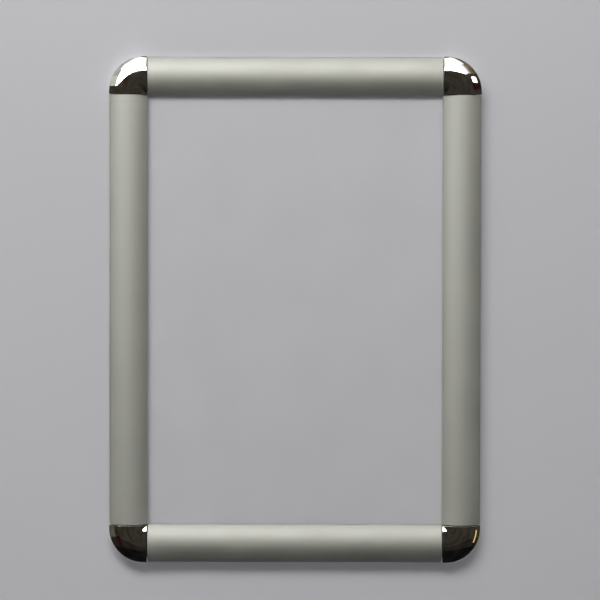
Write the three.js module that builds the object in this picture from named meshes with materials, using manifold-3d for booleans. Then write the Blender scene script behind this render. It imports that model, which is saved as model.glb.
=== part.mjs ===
import * as THREE from 'three';
import { mergeVertices } from 'three/addons/utils/BufferGeometryUtils.js';
import Module from 'manifold-3d';

// A wall-mounted poster frame for one A4 sheet, with four rails that snap open, in millimetres.
// +Z is up, +X is to the right and the front faces -Y. The wall is the plane y = 0, and the
// origin lies on it, behind the middle of the frame.
//
// Sections are drawn in two coordinates: u runs inward from the frame's outer edge, and v runs
// forward from the wall. Plans of the corner pieces use p and q, which run inward from the two
// outer edges that meet there. Angles are in degrees.

// The sheet and the layers that lie with it
const sheetWidth = 210;
const sheetHeight = 297;
const panelThickness = 1.5;
const posterThickness = 0.3;
const coverThickness = 0.5;
const layerGap = 0.1; // between two flat layers
const sheetPlay = 0.8; // between a sheet's edge and the rib beside it
const sheetLap = 9.7; // how far a lid reaches in over the sheets

// Clearances and cuts
const fitGap = 0.3; // between two pieces where one seats on the other
const seamGap = 0.6; // between a lid's cut end and the corner cap
const overrun = 1; // how far a cutting shape goes past what it cuts

// The hinge: a bead on the base rail, in a groove along the lid's outer edge
const beadRadius = 1.1;
const beadHeight = 6; // of the bead's centre above the wall
const neckWidth = 1; // of the web that carries the bead
const openAngle = 95;
const openMargin = 12; // angle left between the lid's edge and the neck, fully open
const closedMargin = 19; // the same for the groove's inner edge, closed

// The lid
const lidWall = 1.1;
const lidDepth = 12.5; // of the lid's crown above the wall
const lidEdgeInset = 0.1; // keeps the lid's outer edge inside the frame's outline
const lipFillet = 0.6;

// The base rail
const floorThickness = 1.3;
const sillHeight = 4.3; // of the rail's outer edge, below the lid
const channelWidth = 10; // between the neck and the rib
const ribWall = 1.1;
const flangeSetback = 0.7; // of the rail's inner edge behind the lid's lip
const ledgeReach = 0.7; // of the ledges that hold the corner key down
const ledgeThickness = 0.6;
const wallHoleRadius = 2.1;
const wallHoleShares = [-0.13, 0.13]; // of the rail's length

// The bow springs, with a rolled edge in a round seat on the lid and on the rib
const springWidth = 24;
const springThickness = 0.3;
const springRollRadius = 0.55;
const springHalfTurn = 60; // half the angle that the closed spring is bowed through
const springPlaceShares = [-0.27, 0.27]; // of the lid's length
const seatWall = 0.7;
const lidSeatReach = 4; // from the bead's centre to the seat on the lid
const lidSeatAngle = -36;
const lidSeatOpening = [-160, -6]; // the two ends of the gap in the lid's seat
const armWidth = 1.1; // of the web between the lid's groove and its spring seat
const ribSeatRise = 1; // of the seat on the rib above the bead's centre
const ribSeatLip = 195; // where the rib's seat ends, over the spring

// The corner caps and the keys under them
const capSide = 24.4;
const capCorner = 22.4; // outer radius in plan
const capDepth = 12.9; // of the cap's crown above the wall
const capCrown = 13.3; // from the outer edge in to the crown
const capSideHeight = 8.1;
const capWall = 1.5;
const postRadius = 3;
const spigotRadius = 1.7;
const spigotEnd = 0.4; // of the spigot's tip above the wall
const keyThickness = 1.2;
const keyCorner = 19.4; // from the outer edges in to the centre of the key's elbow
const keyReach = 46; // from the outer edge to the end of a leg
const keyChamfer = 1.2;
const grubHoleRadius = 1.2;
const grubHoleSetback = 6; // from the end of a leg

// How finely curves are divided
const archStep = 6;
const roundStep = 18;
const leafStep = 10;
const cornerSegments = 48;
const holeSegments = 20;

// Places in the section, each worked out from the one before it
const grooveRadius = beadRadius + fitGap;
const hookRadius = grooveRadius + lidWall;
const bead = new THREE.Vector2(hookRadius + lidEdgeInset, beadHeight);
const neckInner = bead.x + neckWidth / 2;
const ribOuter = neckInner + channelWidth;
const ribInner = ribOuter + ribWall;
const sheetInset = ribInner + sheetPlay;
const lipInset = sheetInset + sheetLap;
const flangeEnd = lipInset - flangeSetback;
const channelMiddle = (neckInner + ribOuter) / 2;

const frameWidth = sheetWidth + 2 * sheetInset;
const frameHeight = sheetHeight + 2 * sheetInset;

const panelBottom = floorThickness + layerGap;
const posterBottom = panelBottom + panelThickness + layerGap;
const coverBottom = posterBottom + posterThickness + layerGap;
const coverTop = coverBottom + coverThickness;
const lipHeight = coverTop + fitGap;

const keyBottom = floorThickness + fitGap;
const keyTop = keyBottom + keyThickness;
const keyOuter = neckInner + fitGap;
const keyInner = ribOuter - fitGap;
const ledgeBottom = keyTop + fitGap;
const ledgeTop = ledgeBottom + ledgeThickness;

const seatRadius = springRollRadius + fitGap;
const seatOuterRadius = seatRadius + seatWall;
const lidSeat = polar(bead, lidSeatReach, lidSeatAngle);
const ribSeat = new THREE.Vector2(ribInner - seatOuterRadius, beadHeight + ribSeatRise);

// The circle whose arc is the lid's arch: it touches the crown and runs tangent into the hook
const archCrown = lipInset / 2;
const archRise = lidDepth - bead.y;
const archRadius = ((archCrown - bead.x) ** 2 + archRise ** 2 - hookRadius ** 2)
  / (2 * (archRise - hookRadius));
const archCentre = new THREE.Vector2(archCrown, lidDepth - archRadius);

// In plan, the centres of the cap's rounded corner and of the key's elbow
const roundCentre = new THREE.Vector2(capCorner, capCorner);
const elbowCentre = new THREE.Vector2(keyCorner, keyCorner);

// The circle of the corner cap's arch, through its crown and the top of its side
const capRise = capDepth - capSideHeight;
const capRadius = (capCrown ** 2 + capRise ** 2) / (2 * capRise);
const capCentre = new THREE.Vector2(capCrown, capDepth - capRadius);

const wasm = await Module();
wasm.setup();

function sine(angle) {
  return Math.sin(THREE.MathUtils.degToRad(angle));
}

function cosine(angle) {
  return Math.cos(THREE.MathUtils.degToRad(angle));
}

// Angle of the line from one point to another
function bearing(from, to) {
  return THREE.MathUtils.radToDeg(Math.atan2(to.y - from.y, to.x - from.x));
}

// Angle whose sine is a over b
function slant(a, b) {
  return THREE.MathUtils.radToDeg(Math.asin(a / b));
}

function polar(centre, radius, angle) {
  return new THREE.Vector2(centre.x + radius * cosine(angle), centre.y + radius * sine(angle));
}

function arc(centre, radius, from, to, step = roundStep) {
  const count = Math.max(1, Math.ceil(Math.abs(to - from) / step));
  const points = [];
  for (let i = 0; i <= count; i += 1) {
    points.push(polar(centre, radius, THREE.MathUtils.lerp(from, to, i / count)));
  }
  return points;
}

// Height of a circle's upper half over a place u
function heightOnCircle(centre, radius, u) {
  return centre.y + Math.sqrt(radius ** 2 - (u - centre.x) ** 2);
}

function pointOnCircle(centre, radius, u) {
  return new THREE.Vector2(u, heightOnCircle(centre, radius, u));
}

// Sweeps a (u, v) outline along x, centred, with the outer edge at z = 0 and the wall at y = 0
function sweep(outline, length) {
  const shape = new THREE.Shape(outline);
  const geometry = new THREE.ExtrudeGeometry(shape, { depth: length, bevelEnabled: false });
  const inward = new THREE.Vector3(0, 0, -1);
  const forward = new THREE.Vector3(0, -1, 0);
  const along = new THREE.Vector3(-1, 0, 0);
  geometry.translate(0, 0, -length / 2);
  return geometry.applyMatrix4(new THREE.Matrix4().makeBasis(inward, forward, along));
}

// Raises a (p, q) plan from one height above the wall to another, in a corner's own frame
function raise(shape, from, to) {
  const geometry = new THREE.ExtrudeGeometry(shape, { depth: to - from, bevelEnabled: false });
  const inwardP = new THREE.Vector3(-1, 0, 0);
  const inwardQ = new THREE.Vector3(0, 0, -1);
  const forward = new THREE.Vector3(0, -1, 0);
  geometry.translate(0, 0, from);
  return geometry.applyMatrix4(new THREE.Matrix4().makeBasis(inwardP, inwardQ, forward));
}

// A round post square to the wall, from one height to another
function post(radius, from, to) {
  const geometry = new THREE.CylinderGeometry(radius, radius, to - from, holeSegments);
  return geometry.translate(0, -(from + to) / 2, 0);
}

function toSolid(geometry) {
  geometry.deleteAttribute('normal');
  geometry.deleteAttribute('uv');
  const merged = mergeVertices(geometry);
  const corners = merged.index.array;
  const triVerts = [];
  for (let i = 0; i < corners.length; i += 3) {
    const [a, b, c] = corners.slice(i, i + 3);
    if (a !== b && b !== c && c !== a) triVerts.push(a, b, c);
  }
  return new wasm.Manifold(new wasm.Mesh({
    numProp: 3,
    vertProperties: merged.attributes.position.array,
    triVerts: new Uint32Array(triVerts),
  }));
}

function toGeometry(solid) {
  const { vertProperties, triVerts } = solid.getMesh();
  const geometry = new THREE.BufferGeometry();
  geometry.setAttribute('position', new THREE.BufferAttribute(vertProperties, 3));
  geometry.setIndex(new THREE.BufferAttribute(triVerts, 1));
  geometry.computeVertexNormals();
  return geometry;
}

// The base rail: outer sill, hinge bead on its neck, channel with ledges, rib with the spring
// seat along its top, and the flange that the sheets lie on
function baseRailOutline() {
  const coveRadius = hookRadius + fitGap;
  const sillAngle = 180 + slant(bead.y - sillHeight, coveRadius);
  const coveEnd = 270 - slant(neckWidth / 2, coveRadius);
  const neckSpread = slant(neckWidth / 2, beadRadius);
  const ribMeeting = slant(ribOuter - ribSeat.x, seatOuterRadius) - 90;
  return [
    new THREE.Vector2(0, 0),
    new THREE.Vector2(flangeEnd, 0),
    new THREE.Vector2(flangeEnd, floorThickness),
    new THREE.Vector2(ribInner, floorThickness),
    ...arc(ribSeat, seatOuterRadius, 0, ribSeatLip),
    ...arc(ribSeat, seatRadius, ribSeatLip, ribMeeting),
    new THREE.Vector2(ribOuter, ribSeat.y + seatOuterRadius * sine(ribMeeting)),
    ...ledge(ribOuter, -ledgeReach).reverse(),
    new THREE.Vector2(ribOuter, floorThickness),
    new THREE.Vector2(neckInner, floorThickness),
    ...ledge(neckInner, ledgeReach),
    ...arc(bead, beadRadius, neckSpread - 90, 270 - neckSpread),
    ...arc(bead, coveRadius, coveEnd, sillAngle),
    new THREE.Vector2(0, sillHeight),
  ];
}

function ledge(face, reach) {
  return [
    new THREE.Vector2(face, ledgeBottom),
    new THREE.Vector2(face + reach, ledgeBottom),
    new THREE.Vector2(face + reach, ledgeTop),
    new THREE.Vector2(face, ledgeTop),
  ];
}

// The lid: an arched cover that ends in a lip over the sheets, with the hinge groove along its
// outer edge and, on a short arm beside the groove, the seat for the springs
function lidOutline() {
  const neckSpread = slant(neckWidth / 2, grooveRadius);
  const hookEnd = 270 - neckSpread - openAngle - openMargin;
  const grooveEnd = neckSpread + closedMargin - 90;
  const hookMeeting = bearing(archCentre, bead);

  const filletReach = archRadius - lipFillet;
  const fillet = pointOnCircle(archCentre, filletReach, lipInset - lipFillet);
  const filletStart = bearing(archCentre, fillet);
  const tip = new THREE.Vector2(lipInset - lidWall / 2, lipHeight + lidWall / 2);

  const innerRadius = archRadius - lidWall;
  const innerLip = pointOnCircle(archCentre, innerRadius, lipInset - lidWall);
  const innerMeeting = meetingAngle(innerRadius);
  const innerStart = bearing(archCentre, polar(bead, hookRadius, innerMeeting));

  const armAtHook = slant(armWidth / 2, hookRadius);
  const armAtSeat = slant(armWidth / 2, seatOuterRadius);
  const [openLeft, openRight] = lidSeatOpening;
  const backToBead = lidSeatAngle + 180;
  return [
    ...arc(bead, hookRadius, hookEnd, hookMeeting),
    ...arc(archCentre, archRadius, hookMeeting, filletStart, archStep).slice(1),
    ...arc(fillet, lipFillet, filletStart, 0).slice(1),
    ...arc(tip, lidWall / 2, 0, -180),
    ...arc(archCentre, innerRadius, bearing(archCentre, innerLip), innerStart, archStep),
    ...arc(bead, hookRadius, innerMeeting, lidSeatAngle + armAtHook).slice(1),
    ...arc(lidSeat, seatOuterRadius, backToBead - armAtSeat, openRight),
    ...arc(lidSeat, seatRadius, openRight, openLeft + 360),
    ...arc(lidSeat, seatOuterRadius, openLeft + 360, backToBead + armAtSeat),
    polar(bead, hookRadius, lidSeatAngle - armAtHook),
    ...arc(bead, grooveRadius, grooveEnd, hookEnd),
  ];
}

// Bearing from the bead to where the outside of its groove meets the underside of the arch
function meetingAngle(innerRadius) {
  const reach = archCentre.distanceTo(bead);
  const cosineOfTurn = (innerRadius ** 2 - reach ** 2 - hookRadius ** 2) / (2 * reach * hookRadius);
  return bearing(archCentre, bead) - THREE.MathUtils.radToDeg(Math.acos(cosineOfTurn));
}

// The spring: a bowed strip between its two rolled edges, bowed towards the wall
function springOutline() {
  const chord = lidSeat.distanceTo(ribSeat);
  const radius = chord / (2 * sine(springHalfTurn));
  const middle = new THREE.Vector2().addVectors(lidSeat, ribSeat).divideScalar(2);
  const chordAngle = bearing(lidSeat, ribSeat);
  const centre = polar(middle, radius * cosine(springHalfTurn), chordAngle + 90);
  const lidEnd = chordAngle - 90 - springHalfTurn;
  const ribEnd = chordAngle - 90 + springHalfTurn;
  const rollTurn = 2 * slant(springRollRadius / 2, radius);
  const rootSpread = slant(springThickness / 2, springRollRadius);
  const lidExit = lidEnd + 90;
  const ribExit = ribEnd - 90;
  const outer = radius + springThickness / 2;
  const inner = radius - springThickness / 2;
  return [
    ...arc(lidSeat, springRollRadius, lidExit + rootSpread, lidExit + 360 - rootSpread),
    ...arc(centre, outer, lidEnd + rollTurn, ribEnd - rollTurn, leafStep),
    ...arc(ribSeat, springRollRadius, ribExit + rootSpread, ribExit + 360 - rootSpread),
    ...arc(centre, inner, ribEnd - rollTurn, lidEnd + rollTurn, leafStep),
  ];
}

// Half the section of the corner cap, from its outer edge to a place further in
function capArch(from, to, inset) {
  const radius = capRadius - inset;
  const start = bearing(capCentre, pointOnCircle(capCentre, radius, from));
  const end = bearing(capCentre, pointOnCircle(capCentre, radius, to));
  return arc(capCentre, radius, start, end, archStep);
}

// The cap's domed block, drawn in by an inset: the arch turned about the centre of the rounded
// corner, and swept straight on to both seams
function capDome(inset, bottom) {
  const end = capSide - inset;
  const round = capArch(inset, capCorner, inset);
  const straight = capArch(capCorner, end, inset);
  const turned = [
    new THREE.Vector2(0, bottom),
    new THREE.Vector2(capCorner - inset, bottom),
    ...round.map((point) => new THREE.Vector2(Math.max(0, capCorner - point.x), point.y)),
  ];
  const swept = [
    new THREE.Vector2(end, bottom),
    new THREE.Vector2(inset, bottom),
    ...round,
    ...straight.slice(1),
  ];
  const lathe = new THREE.LatheGeometry(turned, cornerSegments);
  lathe.rotateX(Math.PI).translate(-capCorner, 0, -capCorner);
  const height = capDepth + 2 * overrun;
  const quarter = new THREE.BoxGeometry(capCorner, height, capCorner);
  quarter.translate(-capCorner / 2, overrun - height / 2, -capCorner / 2);

  const straightLength = end - capCorner;
  const middle = -(end + capCorner) / 2;
  const alongP = sweep(swept, straightLength).translate(middle, 0, 0);
  const alongQ = sweep(swept, straightLength).rotateY(Math.PI / 2).translate(0, 0, middle);
  return toSolid(lathe).intersect(toSolid(quarter)).add(toSolid(alongP)).add(toSolid(alongQ));
}

// Plan of the space inside the cap's outer wall, run on past the two seams
function capInsidePlan() {
  const reach = capSide + overrun;
  return new THREE.Shape([
    new THREE.Vector2(reach, capWall),
    ...arc(roundCentre, capCorner - capWall, 270, 180, 360 / cornerSegments),
    new THREE.Vector2(capWall, reach),
    new THREE.Vector2(reach, reach),
  ]);
}

// Middle of the key's elbow, where the cap's post stands
function postPlace() {
  return polar(elbowCentre, keyCorner - channelMiddle, 225);
}

// A thin shell, open at the back, whose end walls stop above the sheets. Its post stands on the
// key, with a spigot that goes through it.
function capGeometry() {
  const place = postPlace();
  const dome = capDome(0, 0);
  const hollow = capDome(capWall, -overrun);
  const passage = toSolid(raise(capInsidePlan(), -overrun, lipHeight));
  const stem = toSolid(post(postRadius, keyTop + fitGap, capDepth).translate(-place.x, 0, -place.y));
  const spigot = toSolid(post(spigotRadius, spigotEnd, capDepth).translate(-place.x, 0, -place.y));
  const shell = dome.subtract(hollow).subtract(passage);
  return toGeometry(shell.add(stem.add(spigot).intersect(dome)));
}

// The corner key: a flat elbow whose legs lie in the channels of two base rails
function keyGeometry() {
  const step = 360 / cornerSegments;
  const plan = new THREE.Shape([
    new THREE.Vector2(keyReach - keyChamfer, keyOuter),
    ...arc(elbowCentre, keyCorner - keyOuter, 270, 180, step),
    new THREE.Vector2(keyOuter, keyReach - keyChamfer),
    new THREE.Vector2(keyOuter + keyChamfer, keyReach),
    new THREE.Vector2(keyInner - keyChamfer, keyReach),
    new THREE.Vector2(keyInner, keyReach - keyChamfer),
    ...arc(elbowCentre, keyCorner - keyInner, 180, 270, step),
    new THREE.Vector2(keyReach - keyChamfer, keyInner),
    new THREE.Vector2(keyReach, keyInner - keyChamfer),
    new THREE.Vector2(keyReach, keyOuter + keyChamfer),
  ]);
  const grubHole = keyReach - grubHoleSetback;
  plan.holes.push(
    roundHole(postPlace(), spigotRadius + fitGap),
    roundHole(new THREE.Vector2(grubHole, channelMiddle), grubHoleRadius),
    roundHole(new THREE.Vector2(channelMiddle, grubHole), grubHoleRadius),
  );
  return raise(plan, keyBottom, keyTop);
}

function roundHole(centre, radius) {
  const circle = arc(centre, radius, 0, 360, 360 / holeSegments);
  return new THREE.Path(circle.slice(1));
}

// The base rail reaches nearly to the corner caps, and has holes for wall screws in its channel
function baseRailGeometry(length) {
  let solid = toSolid(sweep(baseRailOutline(), length));
  for (const share of wallHoleShares) {
    const hole = post(wallHoleRadius, -overrun, floorThickness + overrun);
    solid = solid.subtract(toSolid(hole.translate(share * length, 0, -channelMiddle)));
  }
  return toGeometry(solid);
}

// The lid's geometry has its origin on the hinge axis
function lidGeometry(length) {
  return sweep(lidOutline(), length).translate(0, bead.y, bead.x);
}

function sheetGeometry(thickness) {
  return new THREE.BoxGeometry(sheetWidth, thickness, sheetHeight);
}

function anodisedAluminium() {
  return new THREE.MeshStandardMaterial({ color: 0xb9bab4, roughness: 0.38, metalness: 0.9 });
}

function platedPlastic() {
  return new THREE.MeshStandardMaterial({ color: 0xe6e6e4, roughness: 0.06, metalness: 1 });
}

function springSteel() {
  return new THREE.MeshStandardMaterial({ color: 0x74777c, roughness: 0.35, metalness: 1 });
}

function zincedSteel() {
  return new THREE.MeshStandardMaterial({ color: 0xa6a9ab, roughness: 0.45, metalness: 1 });
}

function whiteBoard() {
  return new THREE.MeshStandardMaterial({ color: 0xe4e4e2, roughness: 0.7, metalness: 0 });
}

function plainPaper() {
  return new THREE.MeshStandardMaterial({ color: 0xb4b6bb, roughness: 0.85, metalness: 0 });
}

function clearFilm() {
  return new THREE.MeshStandardMaterial({
    color: 0xf2f5f6, roughness: 0.3, metalness: 0, transparent: true, opacity: 0.2,
  });
}

function mesh(name, geometry, material) {
  const piece = new THREE.Mesh(geometry, material);
  piece.name = name;
  return piece;
}

// A flat layer at its height above the wall
function layer(name, bottom, thickness, material) {
  const sheet = mesh(name, sheetGeometry(thickness), material);
  sheet.position.y = -(bottom + thickness / 2);
  return sheet;
}

// One side of the frame, drawn as the top one, at half the frame's size from the middle
function side(name, turn, span, reach) {
  const group = new THREE.Group();
  group.rotation.y = THREE.MathUtils.degToRad(turn);

  const railLength = span - 2 * (capSide + fitGap);
  const rail = mesh(`base_rail_${name}`, baseRailGeometry(railLength), anodisedAluminium());
  rail.position.z = reach;

  const lidLength = span - 2 * (capSide + seamGap);
  const hinge = new THREE.Group();
  hinge.position.set(0, -bead.y, reach - bead.x);
  hinge.add(mesh(`snap_lid_${name}`, lidGeometry(lidLength), anodisedAluminium()));
  group.add(rail, hinge);

  springPlaceShares.forEach((share, index) => {
    const strip = sweep(springOutline(), springWidth);
    const spring = mesh(`bow_spring_${name}_${index + 1}`, strip, springSteel());
    spring.position.set(share * lidLength, 0, reach);
    group.add(spring);
  });
  return group;
}

// One corner, drawn as the top right one, with its origin at the corner of the outline
function corner(name, turn, x, z) {
  const group = new THREE.Group();
  group.position.set(x, 0, z);
  group.rotation.y = THREE.MathUtils.degToRad(turn);
  group.add(
    mesh(`corner_cap_${name}`, capGeometry(), platedPlastic()),
    mesh(`corner_key_${name}`, keyGeometry(), zincedSteel()),
  );
  return group;
}

function posterFrame() {
  const group = new THREE.Group();
  const right = frameWidth / 2;
  const top = frameHeight / 2;
  group.add(
    layer('backing_panel', panelBottom, panelThickness, whiteBoard()),
    layer('poster_sheet', posterBottom, posterThickness, plainPaper()),
    layer('cover_sheet', coverBottom, coverThickness, clearFilm()),
    side('top', 0, frameWidth, top),
    side('right', 90, frameHeight, right),
    side('bottom', 180, frameWidth, top),
    side('left', 270, frameHeight, right),
    corner('top_right', 0, right, top),
    corner('bottom_right', 90, right, -top),
    corner('bottom_left', 180, -right, -top),
    corner('top_left', 270, -right, top),
  );
  return group;
}

export default posterFrame();
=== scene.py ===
from cmath import exp, phase
from math import acos, asin, ceil, cos, degrees, pi, radians, sin, sqrt

import bmesh
import bpy
from mathutils import Euler, Matrix, Vector


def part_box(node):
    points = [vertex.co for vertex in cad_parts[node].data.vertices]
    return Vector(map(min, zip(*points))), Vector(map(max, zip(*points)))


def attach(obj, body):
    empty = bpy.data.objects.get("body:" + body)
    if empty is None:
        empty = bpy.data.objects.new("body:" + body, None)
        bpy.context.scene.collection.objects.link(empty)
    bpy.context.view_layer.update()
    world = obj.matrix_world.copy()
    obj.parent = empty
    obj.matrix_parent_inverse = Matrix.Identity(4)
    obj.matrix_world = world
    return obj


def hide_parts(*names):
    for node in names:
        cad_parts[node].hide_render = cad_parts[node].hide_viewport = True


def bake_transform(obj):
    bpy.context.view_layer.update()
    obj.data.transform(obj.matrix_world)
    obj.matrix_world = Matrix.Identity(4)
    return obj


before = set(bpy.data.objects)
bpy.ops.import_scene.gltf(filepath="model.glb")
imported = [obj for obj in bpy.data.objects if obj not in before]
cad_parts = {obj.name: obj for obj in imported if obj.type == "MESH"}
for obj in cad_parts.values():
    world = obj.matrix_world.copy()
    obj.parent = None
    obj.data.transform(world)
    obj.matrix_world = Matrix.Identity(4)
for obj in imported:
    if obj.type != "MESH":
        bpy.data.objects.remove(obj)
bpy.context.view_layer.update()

# Snap poster frame for one A4 sheet. Lengths are in millimetres until a mesh is finished.
# A section is drawn with complex numbers: u (real) runs in from the outer edge and v (imaginary)
# runs forward from the wall. Plans of the corners use p and q, in from the two outer edges.
mm = 0.001
smoothBelow = radians(28)        # flatter edges than this are shaded smooth
tiny = 1e-4                      # points closer than this are one point
sideTurns = {"top": 0, "right": 90, "bottom": 180, "left": 270}
cornerTurns = {"top_right": 0, "bottom_right": 90, "bottom_left": 180, "top_left": 270}
fitGap = 0.3                     # between two pieces that seat on each other
overrun = 1                      # how far a cutter goes past what it cuts

# Sizes that several pieces share

sheets = {
    "width": 210,
    "height": 297,
    "panel": 1.5,
    "paper": 0.3,
    "cover": 0.5,
    "layerGap": 0.1,
    "play": 0.8,                 # between a sheet's edge and the rib beside it
    "lap": 9.7,                  # how far a lid reaches in over the sheets
}

hinge = {
    "beadRadius": 1.1,
    "beadHeight": 6,
    "neckWidth": 1,
    "lidWall": 1.1,
    "edgeInset": 0.1,
    "openAngle": 95,
    "openMargin": 12,
    "closedMargin": 19,
}

channel = {
    "floor": 1.3,
    "width": 10,
    "ribWall": 1.1,
    "keyThickness": 1.2,
    "keyCorner": 19.4,           # in to the centre of the key's elbow
    "keyReach": 46,
    "ledge": 0.6,
    "ledgeReach": 0.7,
}

seats = {
    "rollRadius": 0.55,
    "wall": 0.7,
    "lidReach": 4,
    "lidAngle": -36,
    "lidOpening": [-160, -6],
    "armWidth": 1.1,
    "ribRise": 1,
    "ribLip": 195,
}


def polar(centre, radius, angle):
    return centre + radius * exp(1j * radians(angle))


def bearing(start, end):
    return degrees(phase(end - start))


def slant(a, b):
    return degrees(asin(a / b))


def arc(centre, radius, start, end, step):
    count = max(1, ceil(abs(end - start) / step))
    return [polar(centre, radius, start + (end - start) * i / count) for i in range(count + 1)]


def onCircle(centre, radius, u):
    return complex(u, centre.imag + sqrt(radius ** 2 - (u - centre.real) ** 2))


# Places in the section, each worked out from the ones before
grooveRadius = hinge["beadRadius"] + fitGap
hookRadius = grooveRadius + hinge["lidWall"]
bead = complex(hookRadius + hinge["edgeInset"], hinge["beadHeight"])
neckInner = bead.real + hinge["neckWidth"] / 2
ribOuter = neckInner + channel["width"]
ribInner = ribOuter + channel["ribWall"]
sheetInset = ribInner + sheets["play"]
lipInset = sheetInset + sheets["lap"]
channelMiddle = (neckInner + ribOuter) / 2
halfWidth = sheets["width"] / 2 + sheetInset
halfHeight = sheets["height"] / 2 + sheetInset
reaches = {"top": halfHeight, "right": halfWidth, "bottom": halfHeight, "left": halfWidth}
stackHeight = 3 * sheets["layerGap"] + sheets["panel"] + sheets["paper"] + sheets["cover"]
lipHeight = channel["floor"] + stackHeight + fitGap
keyTop = channel["floor"] + fitGap + channel["keyThickness"]
seatRadius = seats["rollRadius"] + fitGap
seatOuter = seatRadius + seats["wall"]
lidSeat = polar(bead, seats["lidReach"], seats["lidAngle"])
ribSeat = complex(ribInner - seatOuter, bead.imag + seats["ribRise"])


# Mesh making

def insetLoop(points, distance):     # each corner of a closed outline goes inward
    area = sum((points[i - 1].conjugate() * points[i]).imag for i in range(len(points)))
    inward = 1j if area > 0 else -1j
    moved = []
    for i, point in enumerate(points):
        before = point - points[i - 1]
        after = points[(i + 1) % len(points)] - point
        a = inward * before / abs(before)
        b = inward * after / abs(after)
        fold = max(0.5, 1 + (a.conjugate() * b).real)     # keeps a very sharp corner near
        moved.append(point + distance * (a + b) / fold)
    return moved


def finishMesh(bm, name):
    bmesh.ops.recalc_face_normals(bm, faces=bm.faces)
    for edge in bm.edges:
        edge.smooth = len(edge.link_faces) == 2 and edge.calc_face_angle(0) < smoothBelow
    for face in bm.faces:
        face.smooth = True
    bmesh.ops.scale(bm, vec=(mm, mm, mm), verts=bm.verts)
    return newMesh(bm, name)


def newMesh(bm, name):
    mesh = bpy.data.meshes.new(name)
    bm.to_mesh(mesh)
    bm.free()
    return mesh


def sweep(outline, length, chamfer):     # along x; its cut ends get material 1
    outline = [p for i, p in enumerate(outline) if abs(p - outline[i - 1]) > tiny]
    drawnIn = insetLoop(outline, chamfer)
    half = length / 2
    places = (
        (-half, drawnIn), (chamfer - half, outline), (half - chamfer, outline), (half, drawnIn),
    )
    bm = bmesh.new()
    rings = [[bm.verts.new((x, -p.imag, -p.real)) for p in loop] for x, loop in places]
    for near, far in zip(rings, rings[1:]):
        for i in range(len(outline)):
            bm.faces.new((near[i - 1], near[i], far[i], far[i - 1]))
    ends = [bm.faces.new(rings[0]), bm.faces.new(rings[-1])]
    for end in ends:
        end.material_index = 1
    bmesh.ops.triangulate(bm, faces=ends, ngon_method="EAR_CLIP")
    bmesh.ops.recalc_face_normals(bm, faces=bm.faces)
    return bm


def post(radius, low, high, x, z, sides, finish=0):     # a round bar that stands square to the wall
    bm = bmesh.new()
    bmesh.ops.create_cone(
        bm, cap_ends=True, segments=sides, radius1=radius, radius2=radius, depth=high - low,
    )
    bmesh.ops.rotate(bm, verts=bm.verts, matrix=Matrix.Rotation(pi / 2, 3, "X"))
    bmesh.ops.translate(bm, verts=bm.verts, vec=(x, -(low + high) / 2, z))
    bmesh.ops.recalc_face_normals(bm, faces=bm.faces)
    for face in bm.faces:
        face.material_index = finish
    return bm


# A solid turned about such a bar's axis, from (radius, height) pairs
def turned(profile, sides, x=0, z=0, finish=0):
    bm = bmesh.new()
    chain = [bm.verts.new((radius, -v, 0)) for radius, v in profile]
    edges = [bm.edges.new(pair) for pair in zip(chain, chain[1:])]
    bmesh.ops.spin(
        bm, geom=[*chain, *edges], cent=(0, 0, 0), axis=(0, 1, 0), angle=2 * pi, steps=sides,
        use_merge=True,
    )
    bmesh.ops.remove_doubles(bm, verts=bm.verts, dist=tiny)
    bmesh.ops.translate(bm, verts=bm.verts, vec=(x, 0, z))
    bmesh.ops.recalc_face_normals(bm, faces=bm.faces)
    for face in bm.faces:
        face.material_index = finish
    return bm


def carve(block, steps, *materials):     # cuts and joins other solids, in the order given
    base = bpy.data.objects.new("block", finishes(newMesh(block, "block"), *materials))
    bpy.context.scene.collection.objects.link(base)
    tools = []
    for operation, bm in steps:
        tool = bpy.data.objects.new("tool", finishes(newMesh(bm, "tool"), *materials))
        bpy.context.scene.collection.objects.link(tool)
        modifier = base.modifiers.new("carve", "BOOLEAN")
        modifier.operation = operation
        modifier.solver = "EXACT"
        modifier.object = tool
        tools.append(tool)
    depsgraph = bpy.context.evaluated_depsgraph_get()
    carved = bmesh.new()
    carved.from_mesh(base.evaluated_get(depsgraph).data)
    for used in [base, *tools]:
        bpy.data.objects.remove(used)
    bmesh.ops.remove_doubles(carved, verts=carved.verts, dist=tiny)
    return carved


def addPiece(name, mesh, turn, x, z):
    piece = bpy.data.objects.new(name, mesh)
    bpy.context.scene.collection.objects.link(piece)
    piece.rotation_euler = Euler((0, radians(turn), 0))
    piece.location = (x * mm, 0, z * mm)
    return piece


def finishes(mesh, *materials):
    for material in materials:
        mesh.materials.append(material)
    return mesh


def outward(turn, x, z):     # a place drawn for the top side or the top right corner, turned
    a = radians(turn)
    return x * cos(a) + z * sin(a), z * cos(a) - x * sin(a)


# Material making. A bump is a strength and a depth, a tone is a darkest and a lightest colour, and
# a range is the part of a noise that counts. The plain values (colour, metallic, roughness) are
# those of the shader's own sockets.

def newMaterial(name, colour, metallic, roughness):
    material = bpy.data.materials.new(name)
    material.use_nodes = True
    shader = material.node_tree.nodes["Principled BSDF"]
    shader.inputs["Base Color"].default_value = (*colour, 1)
    shader.inputs["Metallic"].default_value = metallic
    shader.inputs["Roughness"].default_value = roughness
    return material, material.node_tree, shader


def addNode(tree, kind, inputs=None, **settings):
    made = tree.nodes.new("ShaderNode" + kind)
    for name, value in settings.items():
        setattr(made, name, value)
    for name, value in (inputs or {}).items():
        if isinstance(value, bpy.types.NodeSocket):
            tree.links.new(value, made.inputs[name])
        else:
            made.inputs[name].default_value = value
    return made


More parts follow.
